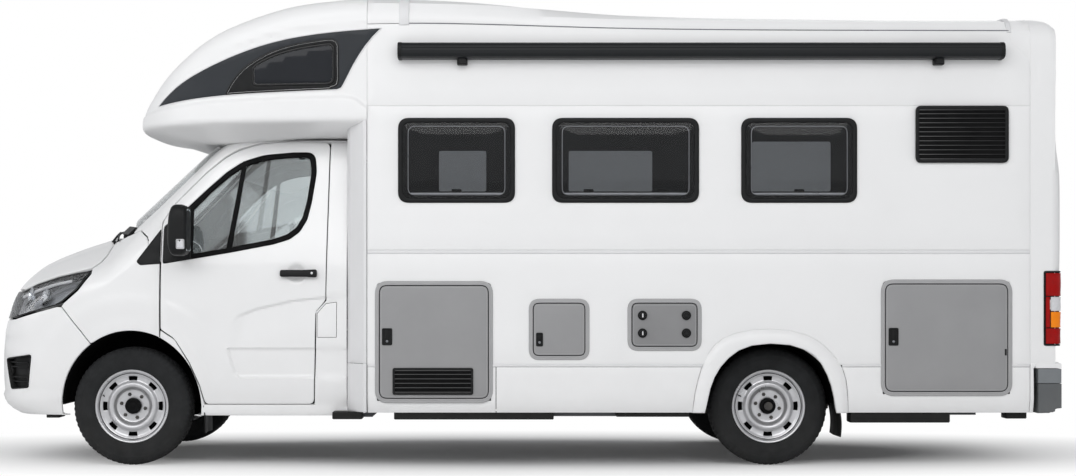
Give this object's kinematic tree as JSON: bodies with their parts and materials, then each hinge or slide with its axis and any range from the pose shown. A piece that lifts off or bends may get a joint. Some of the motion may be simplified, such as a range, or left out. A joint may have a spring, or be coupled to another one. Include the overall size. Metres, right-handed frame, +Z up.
{
  "type": "motorhome",
  "caption": "Overcab motorhome on a panel-van cab, with a coach-built living body, side awning, hinged doors and locker hatches, steered front wheels and a rear garage.",
  "frame": {"origin": "on the ground, at the middle of the overall length and width", "axes": "+X forward, +Y to the left side of the vehicle, +Z up"},
  "size_m": [6.5, 2.55, 2.83],
  "materials": {
    "body_paint": "gloss white paint",
    "coach_white": "gloss white coach panel",
    "bumper_grey": "dark grey moulding",
    "hatch_grey": "satin grey",
    "black_plastic": "satin black",
    "awning_black": "satin black aluminium case",
    "tinted_glass": "tinted acrylic",
    "cab_glass": "clear glass",
    "lamp_clear": "clear lens",
    "lamp_red": "red lens",
    "roof_plastic": "translucent white",
    "dash_plastic": "dark grain",
    "seat_fabric": "woven grey",
    "wood": "plain board",
    "locker_lining": "dark lining",
    "chassis_black": "black chassis paint",
    "cast_iron": "cast",
    "exhaust_steel": "dull",
    "tyre": "black rubber",
    "rim_silver": "silver paint"
  },
  "bodies": {
    "chassis": {"cab_shell": "body_paint", "front_wings": "body_paint", "front_bumper": "body_paint", "left_side_wall": "coach_white", "right_side_wall": "coach_white", "rear_cap": "coach_white", "roof": "coach_white", "overcab": "coach_white", "cab_side_fairings": "coach_white", "side_skirts": "coach_white", "rear_bumper": "bumper_grey", "hatch_frames": "hatch_grey", "window_frames": "black_plastic", "vent_grilles": "black_plastic", "front_grille": "black_plastic", "wheel_arch_liners": "black_plastic", "awning_case": "awning_black", "window_panes": "tinted_glass", "windscreen": "cab_glass", "headlamps": "lamp_clear", "tail_lamps": "lamp_red", "rooflights": "roof_plastic", "dashboard": "dash_plastic", "cab_seats": "seat_fabric", "floor": "wood", "living_furniture": "wood", "locker_boxes": "locker_lining", "underfloor_tanks": "locker_lining", "chassis_frame": "chassis_black", "front_suspension": "chassis_black", "rear_axle": "chassis_black", "engine_block": "cast_iron", "exhaust": "exhaust_steel"},
    "bonnet": {"bonnet": "body_paint"},
    "left_cab_door": {"left_cab_door": "body_paint", "left_door_glass": "cab_glass", "left_mirror": "black_plastic"},
    "right_cab_door": {"right_cab_door": "body_paint", "right_door_glass": "cab_glass", "right_mirror": "black_plastic"},
    "entrance_door": {"entrance_door": "coach_white", "entrance_window": "tinted_glass"},
    "gas_locker_door": {"gas_locker_door": "hatch_grey"},
    "service_door": {"service_door": "hatch_grey"},
    "garage_door": {"garage_door": "hatch_grey"},
    "steering_wheel": {"steering_wheel": "black_plastic"},
    "left_knuckle": {"left_knuckle": "chassis_black"},
    "right_knuckle": {"right_knuckle": "chassis_black"},
    "front_left_wheel": {"front_left_tyre": "tyre", "front_left_rim": "rim_silver"},
    "front_right_wheel": {"front_right_tyre": "tyre", "front_right_rim": "rim_silver"},
    "rear_left_wheel": {"rear_left_tyre": "tyre", "rear_left_rim": "rim_silver"},
    "rear_right_wheel": {"rear_right_tyre": "tyre", "rear_right_rim": "rim_silver"}
  },
  "joints": [
    {"name": "left_steer", "type": "hinge", "parent": "chassis", "child": "left_knuckle", "pos_m": [2.345, 0.82, 0.356], "axis": [0, 0, 1], "range_deg": [-35, 35]},
    {"name": "right_steer", "type": "hinge", "parent": "chassis", "child": "right_knuckle", "pos_m": [2.345, -0.82, 0.356], "axis": [0, 0, 1], "range_deg": [-35, 35]},
    {"name": "steering_wheel_turn", "type": "hinge", "parent": "chassis", "child": "steering_wheel", "pos_m": [1.8, 0.43, 1.12], "axis": [-0.8829, 0, 0.4695], "range_deg": [-490, 490]},
    {"name": "front_left_spin", "type": "hinge", "parent": "left_knuckle", "child": "front_left_wheel", "pos_m": [2.345, 0.87, 0.356], "axis": [0, 1, 0], "continuous": true},
    {"name": "front_right_spin", "type": "hinge", "parent": "right_knuckle", "child": "front_right_wheel", "pos_m": [2.345, -0.87, 0.356], "axis": [0, 1, 0], "continuous": true},
    {"name": "rear_left_spin", "type": "hinge", "parent": "chassis", "child": "rear_left_wheel", "pos_m": [-1.485, 0.87, 0.356], "axis": [0, 1, 0], "continuous": true},
    {"name": "rear_right_spin", "type": "hinge", "parent": "chassis", "child": "rear_right_wheel", "pos_m": [-1.485, -0.87, 0.356], "axis": [0, 1, 0], "continuous": true},
    {"name": "bonnet_lift", "type": "hinge", "parent": "chassis", "child": "bonnet", "pos_m": [2.528, 0, 1.398], "axis": [0, -1, 0], "range_deg": [0, 55]},
    {"name": "left_cab_door_swing", "type": "hinge", "parent": "chassis", "child": "left_cab_door", "pos_m": [2.167, 1.006, 1], "axis": [0, 0, -1], "range_deg": [0, 70]},
    {"name": "right_cab_door_swing", "type": "hinge", "parent": "chassis", "child": "right_cab_door", "pos_m": [2.167, -1.006, 1], "axis": [0, 0, 1], "range_deg": [0, 70]},
    {"name": "entrance_door_swing", "type": "hinge", "parent": "chassis", "child": "entrance_door", "pos_m": [0.8365, -1.134, 1.2], "axis": [0, 0, 1], "range_deg": [0, 110]},
    {"name": "gas_locker_door_swing", "type": "hinge", "parent": "chassis", "child": "gas_locker_door", "pos_m": [0.2025, 1.138, 0.75], "axis": [0, 0, 1], "range_deg": [0, 100]},
    {"name": "service_door_swing", "type": "hinge", "parent": "chassis", "child": "service_door", "pos_m": [-0.3695, 1.138, 0.82], "axis": [0, 0, 1], "range_deg": [0, 100]},
    {"name": "garage_door_swing", "type": "hinge", "parent": "chassis", "child": "garage_door", "pos_m": [-2.8755, 1.138, 0.77], "axis": [0, 0, 1], "range_deg": [0, 110]}
  ],
  "couplings": [
    {"joint": "right_steer", "follows": "left_steer", "ratio": 1},
    {"joint": "steering_wheel_turn", "follows": "left_steer", "ratio": 14}
  ]
}
